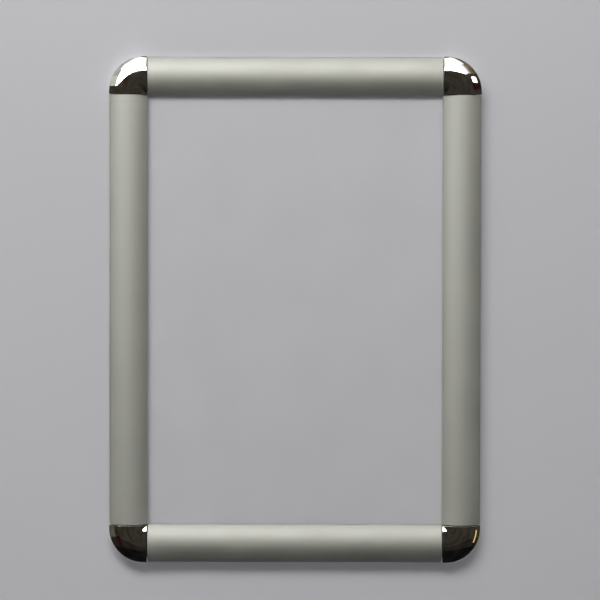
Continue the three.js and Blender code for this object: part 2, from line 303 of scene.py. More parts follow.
def grain(tree, scale, detail, stretch=(1, 1, 1)):     # noise in the piece's own space
    where = addNode(tree, "TexCoord").outputs["Object"]
    mapped = addNode(tree, "Mapping", {"Vector": where, "Scale": stretch}).outputs["Vector"]
    inputs = {"Vector": mapped, "Scale": scale, "Detail": detail}
    return addNode(tree, "TexNoise", inputs).outputs["Fac"]


def spread(tree, value, low, high, fromLow=0.3, fromHigh=0.7):
    inputs = {
        "Value": value, "From Min": fromLow, "From Max": fromHigh, "To Min": low, "To Max": high,
    }
    return addNode(tree, "MapRange", inputs, clamp=True).outputs["Result"]


def maths(tree, operation, a, b):
    return addNode(tree, "Math", {0: a, 1: b}, operation=operation).outputs[0]


def mixture(tree, a, b, share):     # that share of a, and the rest of b
    first = maths(tree, "MULTIPLY", a, share)
    return maths(tree, "ADD", first, maths(tree, "MULTIPLY", b, 1 - share))


def tinted(tree, factor, dark, light):     # sockets 6, 7 and 2 are the colours of a Mix node
    inputs = {0: factor, 6: (*dark, 1), 7: (*light, 1)}
    return addNode(tree, "Mix", inputs, data_type="RGBA").outputs[2]


def bump(tree, height, strength, depth, before=None):
    inputs = {"Height": height, "Strength": strength, "Distance": depth * mm}
    if before:
        inputs["Normal"] = before
    return addNode(tree, "Bump", inputs).outputs["Normal"]


def wire(tree, shader, colour=None, roughness=None, normal=None):
    for name, socket in (("Base Color", colour), ("Roughness", roughness), ("Normal", normal)):
        if socket:
            tree.links.new(socket, shader.inputs[name])


# Satin anodised aluminium: die lines along the extrusion, an etched grain and faint handling marks
satinLook = {
    "lidTone": ((0.450, 0.453, 0.421), (0.492, 0.493, 0.458)),
    "lidRoughness": 0.70,
    "railTone": ((0.50, 0.50, 0.485), (0.56, 0.56, 0.545)),
    "railRoughness": 0.36,
    "dieLines": (7, 2300, 2300),     # the noise's stretch, which draws it out into lines
    "etch": 5200,
    "clouds": 34,
    "toneRange": (0.38, 0.62),
    "streaks": 0.03,             # roughness that the die lines add or take
    "handling": (-0.02, 0.05, 0.42, 0.68),
    "etchBump": (0.12, 0.02),
    "lineBump": (0.22, 0.02),
}


def satinAluminium(name, tone, roughness):
    material, tree, shader = newMaterial(name, tone[1], 1, roughness)
    lines = grain(tree, 1, 2, satinLook["dieLines"])
    etch = grain(tree, satinLook["etch"], 2)
    clouds = grain(tree, satinLook["clouds"], 4)
    factor = spread(tree, mixture(tree, lines, clouds, 0.5), 0, 1, *satinLook["toneRange"])
    sway = satinLook["streaks"]
    streaks = spread(tree, lines, roughness - sway, roughness + sway)
    handled = spread(tree, clouds, *satinLook["handling"])
    fine = bump(tree, etch, *satinLook["etchBump"])
    wire(
        tree, shader,
        tinted(tree, factor, *tone),
        maths(tree, "ADD", streaks, handled),
        bump(tree, lines, *satinLook["lineBump"], fine),
    )
    return material


# Raw saw cut across the extrusion
sawnLook = {
    "plain": ((0.60, 0.60, 0.59), 1, 0.42),
    "tone": ((0.44, 0.44, 0.43), (0.66, 0.66, 0.65)),
    "roughness": (0.32, 0.55),
    "marks": (400, 900, 5200),
    "bump": (0.5, 0.03),
}


def sawnAluminium():
    material, tree, shader = newMaterial("sawn_end", *sawnLook["plain"])
    marks = grain(tree, 1, 2, sawnLook["marks"])
    wire(
        tree, shader,
        tinted(tree, spread(tree, marks, 0, 1), *sawnLook["tone"]),
        spread(tree, marks, *sawnLook["roughness"]),
        bump(tree, marks, *sawnLook["bump"]),
    )
    return material


# Bright plating over moulded plastic: a mirror with a slight orange peel, dust and rub marks
brightLook = {
    "plain": ((0.84, 0.83, 0.81), 1, 0.04),
    "tone": ((0.80, 0.79, 0.765), (0.88, 0.875, 0.86)),
    "peel": 420,
    "rubs": (160, 160, 2600),
    "smears": 150,
    "dust": 3300,
    "dusty": (0, 0.22, 0.70, 0.80),      # roughness from and to, as the noise goes from and to
    "smeared": (0.02, 0.08, 0.45, 0.75),
    "rubbed": (0, 0.03, 0.6, 0.8),
    "bump": (0.10, 0.04),
}


def brightPlating():
    material, tree, shader = newMaterial("bright_plating", *brightLook["plain"])
    peel = grain(tree, brightLook["peel"], 2)
    rubs = grain(tree, 1, 3, brightLook["rubs"])
    smears = grain(tree, brightLook["smears"], 5)
    dust = grain(tree, brightLook["dust"], 1)
    smeared = spread(tree, smears, *brightLook["smeared"])
    haze = maths(tree, "ADD", smeared, spread(tree, rubs, *brightLook["rubbed"]))
    wire(
        tree, shader,
        tinted(tree, spread(tree, smears, 0, 1), *brightLook["tone"]),
        maths(tree, "ADD", haze, spread(tree, dust, *brightLook["dusty"])),
        bump(tree, peel, *brightLook["bump"]),
    )
    return material


# The plating's dull side, inside the moulding
dullLook = {
    "plain": ((0.42, 0.42, 0.41), 1, 0.34),
    "tone": ((0.34, 0.34, 0.33), (0.50, 0.50, 0.48)),
    "roughness": (0.26, 0.46),
    "flow": 210,
    "pits": 900,
    "bump": (0.2, 0.03),
}


def dullPlating():
    material, tree, shader = newMaterial("dull_plating", *dullLook["plain"])
    flow = grain(tree, dullLook["flow"], 4)
    wire(
        tree, shader,
        tinted(tree, spread(tree, flow, 0, 1), *dullLook["tone"]),
        spread(tree, flow, *dullLook["roughness"]),
        bump(tree, grain(tree, dullLook["pits"], 2), *dullLook["bump"]),
    )
    return material


# Cold rolled spring steel, tempered grey, with rolling lines along the leaf
springLook = {
    "plain": ((0.30, 0.31, 0.33), 1, 0.3),
    "tone": ((0.20, 0.205, 0.235), (0.36, 0.36, 0.37)),
    "roughness": (0.24, 0.42),
    "temper": 260,
    "levelLines": (2800, 60, 60),        # on the springs of the top and bottom
    "uprightLines": (60, 60, 2800),      # and of the two sides
    "bump": (0.3, 0.02),
}


def springSteel(name, lines):
    material, tree, shader = newMaterial(name, *springLook["plain"])
    rolled = grain(tree, 1, 2, lines)
    temper = grain(tree, springLook["temper"], 3)
    wire(
        tree, shader,
        tinted(tree, spread(tree, temper, 0, 1), *springLook["tone"]),
        spread(tree, rolled, *springLook["roughness"]),
        bump(tree, rolled, *springLook["bump"]),
    )
    return material


# Bright zinc over pressed steel, with a faint yellow passivation
zincLook = {
    "plain": ((0.60, 0.61, 0.61), 1, 0.38),
    "tone": ((0.50, 0.51, 0.53), (0.66, 0.65, 0.58)),
    "roughness": (0.28, 0.5),
    "bloom": 190,
    "frost": 2400,
    "bump": (0.35, 0.03),
}


def zincPlate():
    material, tree, shader = newMaterial("zinc_plate", *zincLook["plain"])
    bloom = grain(tree, zincLook["bloom"], 5)
    frost = grain(tree, zincLook["frost"], 2)
    wire(
        tree, shader,
        tinted(tree, spread(tree, bloom, 0, 1), *zincLook["tone"]),
        spread(tree, frost, *zincLook["roughness"]),
        bump(tree, frost, *zincLook["bump"]),
    )
    return material


# Blackened steel of the grub screws
blackLook = {
    "plain": ((0.05, 0.05, 0.05), 1, 0.4),
    "tone": ((0.035, 0.035, 0.037), (0.09, 0.088, 0.085)),
    "roughness": (0.3, 0.55),
    "oil": 1500,
}


def blackSteel():
    material, tree, shader = newMaterial("black_steel", *blackLook["plain"])
    oil = grain(tree, blackLook["oil"], 3)
    wire(
        tree, shader,
        tinted(tree, spread(tree, oil, 0, 1), *blackLook["tone"]),
        spread(tree, oil, *blackLook["roughness"]),
    )
    return material


# Pressed white board of the backing panel
boardLook = {
    "plain": ((0.76, 0.76, 0.74), 0, 0.7),
    "tone": ((0.62, 0.61, 0.58), (0.80, 0.80, 0.785)),
    "toneSpread": (0.5, 1, 0.4, 0.6),
    "roughness": (0.6, 0.82),
    "pulp": 900,
    "pulpStretch": (1, 1, 0.35),
    "shade": 18,
    "flecks": 1700,
    "fleckRange": (0.30, 0.40),
    "bump": (0.25, 0.06),
}


def whiteBoard():
    material, tree, shader = newMaterial("white_board", *boardLook["plain"])
    pulp = grain(tree, boardLook["pulp"], 5, boardLook["pulpStretch"])
    shade = grain(tree, boardLook["shade"], 3)
    flecks = spread(tree, grain(tree, boardLook["flecks"], 2), 0, 1, *boardLook["fleckRange"])
    mottle = spread(tree, mixture(tree, pulp, shade, 0.5), *boardLook["toneSpread"])
    wire(
        tree, shader,
        tinted(tree, maths(tree, "MULTIPLY", flecks, mottle), *boardLook["tone"]),
        spread(tree, pulp, *boardLook["roughness"]),
        bump(tree, pulp, *boardLook["bump"]),
    )
    return material


# Plain pale grey paper
paperLook = {
    "plain": ((0.439, 0.438, 0.462), 0, 0.85),
    "tone": ((0.427, 0.426, 0.449), (0.451, 0.450, 0.475)),
    "toneRange": (0.38, 0.62),
    "roughness": (0.78, 0.92),
    "fibres": 1300,
    "fibreStretch": (1, 1, 0.4),
    "fibreShare": 0.4,
    "mottle": 26,
    "bump": (0.12, 0.04),
}


def plainPaper():
    material, tree, shader = newMaterial("plain_paper", *paperLook["plain"])
    fibres = grain(tree, paperLook["fibres"], 4, paperLook["fibreStretch"])
    mottle = grain(tree, paperLook["mottle"], 4)
    both = mixture(tree, fibres, mottle, paperLook["fibreShare"])
    wire(
        tree, shader,
        tinted(tree, spread(tree, both, 0, 1, *paperLook["toneRange"]), *paperLook["tone"]),
        spread(tree, fibres, *paperLook["roughness"]),
        bump(tree, fibres, *paperLook["bump"]),
    )
    return material


# Clear film with a matt front that kills glare
filmLook = {
    "plain": ((0.93, 0.95, 0.95), 0, 0.34),
    "alpha": 0.07,
    "roughness": (0.30, 0.40),
    "tooth": 3000,
    "bump": (0.10, 0.02),
}


def matFilm():
    material, tree, shader = newMaterial("matt_film", *filmLook["plain"])
    shader.inputs["Alpha"].default_value = filmLook["alpha"]
    tooth = grain(tree, filmLook["tooth"], 2)
    wire(
        tree, shader,
        roughness=spread(tree, tooth, *filmLook["roughness"]),
        normal=bump(tree, tooth, *filmLook["bump"]),
    )
    return material


satinLid = satinAluminium("satin_lid", satinLook["lidTone"], satinLook["lidRoughness"])
satinRail = satinAluminium("satin_rail", satinLook["railTone"], satinLook["railRoughness"])
sawnEnd = sawnAluminium()
plating = brightPlating()
platingInside = dullPlating()
levelLeaf = springSteel("spring_steel_level", springLook["levelLines"])
uprightLeaf = springSteel("spring_steel_upright", springLook["uprightLines"])
zinc = zincPlate()
black = blackSteel()
panelBoard = whiteBoard()
paper = plainPaper()
film = matFilm()
print("materials made")


# The lids: an arched cover that ends in a lip, with the hinge groove and the springs' seat

lid = {
    "depth": 12.5,               # of the crown above the wall
    "lipFillet": 0.6,
    "endChamfer": 0.14,          # left by brushing the sawn ends
    "archStep": 2.5,
    "roundStep": 9,
}

archCrown = lipInset / 2
archRun = archCrown - bead.real
archRise = lid["depth"] - bead.imag
archRadius = (archRun ** 2 + archRise ** 2 - hookRadius ** 2) / (2 * (archRise - hookRadius))
archCentre = complex(archCrown, lid["depth"] - archRadius)


def lidOutline():
    wall = hinge["lidWall"]
    step = lid["roundStep"]
    neckSpread = slant(hinge["neckWidth"] / 2, grooveRadius)
    hookEnd = 270 - neckSpread - hinge["openAngle"] - hinge["openMargin"]
    grooveEnd = neckSpread + hinge["closedMargin"] - 90
    hookMeeting = bearing(archCentre, bead)
    fillet = onCircle(archCentre, archRadius - lid["lipFillet"], lipInset - lid["lipFillet"])
    filletStart = bearing(archCentre, fillet)
    tip = complex(lipInset - wall / 2, lipHeight + wall / 2)
    inner = archRadius - wall
    innerLip = onCircle(archCentre, inner, lipInset - wall)
    reach = abs(archCentre - bead)
    turn = degrees(acos((inner ** 2 - reach ** 2 - hookRadius ** 2) / (2 * reach * hookRadius)))
    meeting = hookMeeting - turn
    innerStart = bearing(archCentre, polar(bead, hookRadius, meeting))
    armAtHook = slant(seats["armWidth"] / 2, hookRadius)
    armAtSeat = slant(seats["armWidth"] / 2, seatOuter)
    openLeft, openRight = seats["lidOpening"]
    backToBead = seats["lidAngle"] + 180
    return [
        *arc(bead, hookRadius, hookEnd, hookMeeting, step),
        *arc(archCentre, archRadius, hookMeeting, filletStart, lid["archStep"]),
        *arc(fillet, lid["lipFillet"], filletStart, 0, step),
        *arc(tip, wall / 2, 0, -180, step),
        *arc(archCentre, inner, bearing(archCentre, innerLip), innerStart, lid["archStep"]),
        *arc(bead, hookRadius, meeting, seats["lidAngle"] + armAtHook, step),
        *arc(lidSeat, seatOuter, backToBead - armAtSeat, openRight, step),
        *arc(lidSeat, seatRadius, openRight, openLeft + 360, step),
        *arc(lidSeat, seatOuter, openLeft + 360, backToBead + armAtSeat, step),
        polar(bead, hookRadius, seats["lidAngle"] - armAtHook),
        *arc(bead, grooveRadius, grooveEnd, hookEnd, step),
    ]


def longSide(node):
    low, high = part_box(node)
    return max(high.x - low.x, high.z - low.z) / mm


for name, turn in sideTurns.items():
    node = f"snap_lid_{name}"
    mesh = finishMesh(sweep(lidOutline(), longSide(node), lid["endChamfer"]), node)
    x, z = outward(turn, 0, reaches[name])
    cover = addPiece(f"lid_{name}", finishes(mesh, satinLid, sawnEnd), turn, x, z)
    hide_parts(node)
    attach(cover, f"lid_{name}")
print("lids made")


# The base rails: sill, hinge bead, channel with ledges, rib with the springs' seat, and flange

rail = {
    "sill": 4.3,
    "flangeSetback": 0.7,        # behind the lid's lip
    "endChamfer": 0.12,
    "holeRadius": 2.1,
    "holeShares": [-0.13, 0.13],     # of the rail's length
    "sinkRadius": 3.7,           # of the countersink in the channel's floor
    "sinkDepth": 0.9,
    "roundStep": 9,
    "holeSides": 40,
}


def ledge(face, reach):
    low = keyTop + fitGap
    high = low + channel["ledge"]
    return [
        complex(face, low),
        complex(face + reach, low),
        complex(face + reach, high),
        complex(face, high),
    ]


def railOutline():
    step = rail["roundStep"]
    cove = hookRadius + fitGap
    flangeEnd = lipInset - rail["flangeSetback"]
    sillAngle = 180 + slant(bead.imag - rail["sill"], cove)
    coveEnd = 270 - slant(hinge["neckWidth"] / 2, cove)
    neckSpread = slant(hinge["neckWidth"] / 2, hinge["beadRadius"])
    ribMeeting = slant(ribOuter - ribSeat.real, seatOuter) - 90
    floor = channel["floor"]
    return [
        0j,
        complex(flangeEnd, 0),
        complex(flangeEnd, floor),
        complex(ribInner, floor),
        *arc(ribSeat, seatOuter, 0, seats["ribLip"], step),
        *arc(ribSeat, seatRadius, seats["ribLip"], ribMeeting, step),
        complex(ribOuter, ribSeat.imag + seatOuter * sin(radians(ribMeeting))),
        *reversed(ledge(ribOuter, -channel["ledgeReach"])),
        complex(ribOuter, floor),
        complex(neckInner, floor),
        *ledge(neckInner, channel["ledgeReach"]),
        *arc(bead, hinge["beadRadius"], neckSpread - 90, 270 - neckSpread, step),
        *arc(bead, cove, coveEnd, sillAngle, step),
        complex(0, rail["sill"]),
    ]


def railMesh(length, name):
    floor = channel["floor"]
    radius, sinkBottom = rail["holeRadius"], floor - rail["sinkDepth"]
    flare = (rail["sinkRadius"] - radius) / rail["sinkDepth"]
    wide = rail["sinkRadius"] + flare * overrun
    low, high = -overrun, floor + overrun
    # One cutter makes the hole with its countersink
    drilled = [(0, low), (radius, low), (radius, sinkBottom), (wide, high), (0, high)]
    steps = [
        ("DIFFERENCE", turned(drilled, rail["holeSides"], share * length, -channelMiddle, 1))
        for share in rail["holeShares"]
    ]
    bar = sweep(railOutline(), length, rail["endChamfer"])
    return finishes(finishMesh(carve(bar, steps, satinRail, sawnEnd), name), satinRail, sawnEnd)


for name, turn in sideTurns.items():
    node = f"base_rail_{name}"
    x, z = outward(turn, 0, reaches[name])
    base = addPiece(f"rail_{name}", railMesh(longSide(node), node), turn, x, z)
    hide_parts(node)
    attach(base, "root")
print("base rails made")


# The bow springs, each bent between the rib's seat and the lid's

leaf = {
    "width": 24,
    "placeShares": [-0.27, 0.27],    # of the lid's length
    "thickness": 0.3,
    "halfTurn": 60,              # half the angle that it is bowed through
    "step": 2.5,
    "rollStep": 12,
    "edge": 0.05,
}


def leafOutline():
    chord = abs(lidSeat - ribSeat)
    radius = chord / (2 * sin(radians(leaf["halfTurn"])))
    setback = radius * cos(radians(leaf["halfTurn"]))     # from the chord to the centre
    chordAngle = bearing(lidSeat, ribSeat)
    centre = polar((lidSeat + ribSeat) / 2, setback, chordAngle + 90)
    lidEnd = chordAngle - 90 - leaf["halfTurn"]
    ribEnd = chordAngle - 90 + leaf["halfTurn"]
    roll = seats["rollRadius"]
    rollTurn = 2 * slant(roll / 2, radius)
    root = slant(leaf["thickness"] / 2, roll)
    half = leaf["thickness"] / 2
    return [
        *arc(lidSeat, roll, lidEnd + 90 + root, lidEnd + 450 - root, leaf["rollStep"]),
        *arc(centre, radius + half, lidEnd + rollTurn, ribEnd - rollTurn, leaf["step"]),
        *arc(ribSeat, roll, ribEnd - 90 + root, ribEnd + 270 - root, leaf["rollStep"]),
        *arc(centre, radius - half, ribEnd - rollTurn, lidEnd + rollTurn, leaf["step"]),
    ]


for name, turn in sideTurns.items():
    lidLength = longSide(f"snap_lid_{name}")
    for number, share in enumerate(leaf["placeShares"], 1):
        node = f"bow_spring_{name}_{number}"
        mesh = finishMesh(sweep(leafOutline(), leaf["width"], leaf["edge"]), node)
        steel = levelLeaf if turn % 180 == 0 else uprightLeaf
        x, z = outward(turn, share * lidLength, reaches[name])
        strip = addPiece(f"spring_{name}_{number}", finishes(mesh, steel, steel), turn, x, z)
        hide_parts(node)
        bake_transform(strip)
print("springs made")


# The corner caps: an arch turned about the corner and run straight on to both seams, in a thin
# plated shell with a post and a spigot that stand on the key

cap = {
    "side": 24.4,
    "corner": 22.4,              # outer radius in plan
    "depth": 12.9,
    "crown": 13.3,               # from the outer edge in to the crown
    "sideHeight": 8.1,
    "wall": 1.5,
    "edgeRadius": 0.08,
    "valley": 0.6,               # how much the valley at the inner corner is filled
    "postRadius": 3,
    "spigotRadius": 1.7,
    "spigotEnd": 0.4,
    "turnSteps": 36,
    "archSteps": 36,
    "seamSteps": 8,
    "bevelSteps": 4,
    "postSides": 40,
}

capRise = cap["depth"] - cap["sideHeight"]
capRadius = (cap["crown"] ** 2 + capRise ** 2) / (2 * capRise)
capCentre = complex(cap["crown"], cap["depth"] - capRadius)
roundCentre = complex(cap["corner"], cap["corner"])
elbowCentre = complex(channel["keyCorner"], channel["keyCorner"])
postPlace = polar(elbowCentre, channel["keyCorner"] - channelMiddle, 225)


def evenly(start, end, count):
    return [start + (end - start) * i / count for i in range(count + 1)]


def domeHeight(place, inset, valley):
    corner = cap["corner"]
    p, q = place.real, place.imag
    radius = capRadius - inset
    if p >= corner and q >= corner:
        a = onCircle(capCentre, radius, p).imag
        b = onCircle(capCentre, radius, q).imag
        fill = valley * (min(p, q) - corner) / (cap["side"] - corner)
        return max(a, b) + (max(0, fill - abs(a - b)) ** 2 / (4 * fill) if fill > 0 else 0)
    if p < corner and q < corner:
        return onCircle(capCentre, radius, corner - abs(roundCentre - place)).imag
    return onCircle(capCentre, radius, min(p, q)).imag


def dome(inset, bottom, valley=0):     # the cap's solid block, drawn in by an inset
    corner, end = cap["corner"], cap["side"] - inset
    depths = evenly(inset, corner, cap["archSteps"])
    run = evenly(corner, end, cap["seamSteps"])
    turns = evenly(180, 270, cap["turnSteps"])
    patches = (
        [[polar(roundCentre, corner - d, a) for d in depths] for a in turns],
        [[complex(p, d) for d in depths] for p in run],
        [[complex(d, q) for d in depths] for q in run],
        [[complex(p, q) for q in run] for p in run],
    )
    bm = bmesh.new()
    for rows in patches:
        grid = []
        for row in rows:
            raised = [(-s.real, -domeHeight(s, inset, valley), -s.imag) for s in row]
            grid.append([bm.verts.new(place) for place in raised])
        for near, far in zip(grid, grid[1:]):
            for i in range(1, len(near)):
                bm.faces.new((near[i - 1], near[i], far[i], far[i - 1]))
    bmesh.ops.remove_doubles(bm, verts=bm.verts, dist=tiny)
    rim = [edge for edge in bm.edges if edge.is_boundary]
    made = bmesh.ops.extrude_edge_only(bm, edges=rim)["geom"]
    for vert in made:
        if isinstance(vert, bmesh.types.BMVert):
            vert.co.y = -bottom
    bmesh.ops.holes_fill(bm, edges=[e for e in made if isinstance(e, bmesh.types.BMEdge)])
    bmesh.ops.recalc_face_normals(bm, faces=bm.faces)
    return bm


def inside(bm):     # a cutter whose faces become the moulding's dull inside
    for face in bm.faces:
        face.material_index = 1
    return bm


def passage():     # the space under the cap's end walls, for the rails and the sheets
    reach = cap["side"] + overrun
    radius = cap["corner"] - cap["wall"]
    plan = [
        complex(reach, cap["wall"]),
        *arc(roundCentre, radius, 270, 180, 90 / cap["turnSteps"]),
        complex(cap["wall"], reach),
        complex(reach, reach),
    ]
    bm = bmesh.new()
    low = [bm.verts.new((-s.real, overrun, -s.imag)) for s in plan]
    high = [bm.verts.new((-s.real, -lipHeight, -s.imag)) for s in plan]
    for i in range(len(plan)):
        bm.faces.new((low[i - 1], low[i], high[i], high[i - 1]))
    bm.faces.new(low)
    bm.faces.new(high)
    bmesh.ops.recalc_face_normals(bm, faces=bm.faces)
    return inside(bm)


def capPost(radius, low):     # it ends within the thickness of the dome
    x, z = -postPlace.real, -postPlace.imag
    whole = post(radius, low, cap["depth"], x, z, cap["postSides"], 1)
    within = inside(dome(cap["wall"] / 2, -overrun))
    return carve(whole, [("INTERSECT", within)], plating, platingInside)


def capMesh():
    block = dome(0, 0, cap["valley"])
    sharp = [
        edge for edge in block.edges
        if edge.calc_face_angle(0) > smoothBelow and max(-v.co.y for v in edge.verts) > tiny
    ]
    bmesh.ops.bevel(
        block, geom=sharp, affect="EDGES", offset=cap["edgeRadius"], segments=cap["bevelSteps"],
        profile=0.5, clamp_overlap=True,
    )
    steps = [
        ("DIFFERENCE", inside(dome(cap["wall"], -overrun))),
        ("DIFFERENCE", passage()),
        ("UNION", capPost(cap["postRadius"], keyTop + fitGap)),
        ("UNION", capPost(cap["spigotRadius"], cap["spigotEnd"])),
    ]
    return finishMesh(carve(block, steps, plating, platingInside), "corner_cap")


capShell = finishes(capMesh(), plating, platingInside)
corners = {
    "top_right": (halfWidth, halfHeight),
    "bottom_right": (halfWidth, -halfHeight),
    "bottom_left": (-halfWidth, -halfHeight),
    "top_left": (-halfWidth, halfHeight),
}
for name, (x, z) in corners.items():
    shell = addPiece(f"cap_{name}", capShell, cornerTurns[name], x, z)
    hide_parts(f"corner_cap_{name}")
    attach(shell, "root")
print("corner caps made")


# Grub screws, which press on the channel's floor and lock the keys in the base rails

grub = {
    "radius": 1.1,
    "low": 1.34,
    "high": 3.2,
    "chamfer": 0.2,
    "socket": 0.62,              # across its corners, from the axis
    "socketDepth": 1,
    "socketSides": 6,
    "setback": 6,                # from the end of the key's leg
    "sides": 32,
}


def grubMesh():
    low, high, radius = grub["low"], grub["high"], grub["radius"]
    edge = grub["chamfer"]
    narrow = radius - edge
    profile = [(0, low), (narrow, low), (radius, low + edge)]
    profile += [(radius, high - edge), (narrow, high), (0, high)]
    body = turned(profile, grub["sides"])
    bottom = high - grub["socketDepth"]
    socket = post(grub["socket"], bottom, high + overrun, 0, 0, grub["socketSides"])
    return finishes(finishMesh(carve(body, [("DIFFERENCE", socket)], black), "grub_screw"), black)


grubScrew = grubMesh()
legEnd = channel["keyReach"] - grub["setback"]
for name, (cornerX, cornerZ) in corners.items():
    for leg, (p, q) in {"a": (legEnd, channelMiddle), "b": (channelMiddle, legEnd)}.items():
        turn = cornerTurns[name]
        x, z = outward(turn, -p, -q)
        screw = addPiece(f"grub_screw_{name}_{leg}", grubScrew, turn, cornerX + x, cornerZ + z)
        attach(screw, "root")
print("grub screws made")


# The keys, the panel, the sheet and its cover keep their CAD shape; the keys and the panel get
# finely broken edges

brokenEdges = {
    "key": 0.12,
    "panel": 0.15,
    "segments": 2,
}


def dress(node, material, width=0):
    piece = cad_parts[node]
    piece.data.materials.clear()
    piece.data.materials.append(material)
    if width:
        edge = piece.modifiers.new("broken edge", "BEVEL")
        edge.width = width * mm
        edge.segments = brokenEdges["segments"]
        edge.limit_method = "ANGLE"
        edge.angle_limit = smoothBelow


for name in cornerTurns:
    dress(f"corner_key_{name}", zinc, brokenEdges["key"])
dress("backing_panel", panelBoard, brokenEdges["panel"])
dress("poster_sheet", paper)
dress("cover_sheet", film)
print("sheets and keys finished")


# The room: a plain wall and floor, soft lamps for all that is dull, and what the metal mirrors

room = {
    "wallGap": 0.6,              # behind the frame
    "wallWidth": 5200,
    "wallTop": 1900,
    "floor": -620,
    "wallColour": (0.508, 0.509, 0.534),
    "wallMottle": (3.2, 3),      # scale and detail
    "wallMottleDepth": 0.015,
    "floorPlain": ((0.60, 0.60, 0.60), 0, 0.8),
    "floorGrain": (30, 4),
    "floorRoughness": (0.75, 0.88),
    "contact": 4.5,              # rays that start this close to the wall pass through it
    "ambient": 0.20,
}


def plane(name, corners, material):
    bm = bmesh.new()
    bm.faces.new([bm.verts.new([c * mm for c in corner]) for corner in corners])
    board = bpy.data.objects.new(name, finishes(newMesh(bm, name), material))
    bpy.context.scene.collection.objects.link(board)
    return board


# The wall shows only from the front, so that the frame's back can be looked at
def wallMaterial():
    material = bpy.data.materials.new("wall_paint")
    material.use_nodes = True
    tree = material.node_tree
    tree.nodes.clear()
    rays = addNode(tree, "LightPath").outputs
    far = maths(tree, "GREATER_THAN", rays["Ray Length"], room["contact"] * mm)
    seen = maths(tree, "MAXIMUM", rays["Is Camera Ray"], far)
    behind = addNode(tree, "NewGeometry").outputs["Backfacing"]
    hidden = maths(tree, "MAXIMUM", rays["Is Shadow Ray"], behind)
    solid = maths(tree, "MULTIPLY", seen, maths(tree, "SUBTRACT", 1, hidden))
    mottle = spread(tree, grain(tree, *room["wallMottle"]), 0, 1)
    dark, light = (
        tuple(share * c for c in room["wallColour"])
        for share in (1 - room["wallMottleDepth"], 1 + room["wallMottleDepth"])
    )
    paint = addNode(tree, "BsdfDiffuse", {"Color": tinted(tree, mottle, dark, light)})
    clear = addNode(tree, "BsdfTransparent")
    mixed = addNode(tree, "MixShader", {0: solid, 1: clear.outputs[0], 2: paint.outputs[0]})
    addNode(tree, "OutputMaterial", {"Surface": mixed.outputs[0]})
    return material


def floorMaterial():
    material, tree, shader = newMaterial("floor_paint", *room["floorPlain"])
    roughness = spread(tree, grain(tree, *room["floorGrain"]), *room["floorRoughness"])
    wire(tree, shader, roughness=roughness)
    return material


half = room["wallWidth"] / 2
back, low, high = room["wallGap"], room["floor"], room["wallTop"]
wallCorners = [(-half, back, low), (half, back, low), (half, back, high), (-half, back, high)]
floorCorners = [(-half, -half, low), (half, -half, low), (half, half, low), (-half, half, low)]
plane("wall", wallCorners, wallMaterial())
ground = plane("floor", floorCorners, floorMaterial())
ground.visible_glossy = False


def direction(azimuth, elevation):     # azimuth 0 is in front of the frame and 90 to its right
    a, e = radians(azimuth), radians(elevation)
    return Vector((sin(a) * cos(e), -cos(a) * cos(e), sin(e)))


def aimed(thing, place, target, roll=0):
    thing.location = place
    thing.rotation_mode = "QUATERNION"
    level = (Vector(target) - Vector(place)).to_track_quat("-Z", "Y")
    thing.rotation_quaternion = level @ Euler((0, 0, radians(roll))).to_quaternion()


# These light the wall, the paper, the film and the panel. The metal mirrors the room below instead.
# Each has its azimuth, elevation and distance, its width and height, its radiance and its colour.
# Lamps and patches are measured in metres.
lamps = {
    "front_lamp": ((-15, 42, 1.6), (1.3, 0.55), 8.6, (1, 0.995, 0.985)),
    "top_lamp": ((-10, 52, 1.4), (1.6, 1.0), 0.63, (1, 0.995, 0.985)),
    "back_lamp": ((180, 12, 2.2), (1.2, 1.2), 3.0, (1, 1, 1)),
}


def areaLamp(name, place, size, radiance, colour):
    azimuth, elevation, distance = place
    light = bpy.data.lights.new(name, "AREA")
    light.shape = "RECTANGLE"
    light.size, light.size_y = size
    light.energy = radiance * pi * size[0] * size[1]
    light.color = colour
    lamp = bpy.data.objects.new(name, light)
    bpy.context.scene.collection.objects.link(lamp)
    lamp.visible_camera = False
    lamp.visible_glossy = False
    aimed(lamp, distance * direction(azimuth, elevation), (0, 0, 0))


for name, settings in lamps.items():
    areaLamp(name, *settings)


glowLook = {
    "mottle": (1.5, 6),          # scale and detail
    "range": (0.34, 0.66),
}


def glow(name, strength, dark, light):
    material = bpy.data.materials.new(name)
    material.use_nodes = True
    tree = material.node_tree
    tree.nodes.clear()
    factor = spread(tree, grain(tree, *glowLook["mottle"]), 0, 1, *glowLook["range"])
    colour = tinted(tree, factor, dark, light)
    shine = addNode(tree, "Emission", {"Color": colour, "Strength": strength})
    addNode(tree, "OutputMaterial", {"Surface": shine.outputs[0]})
    return material


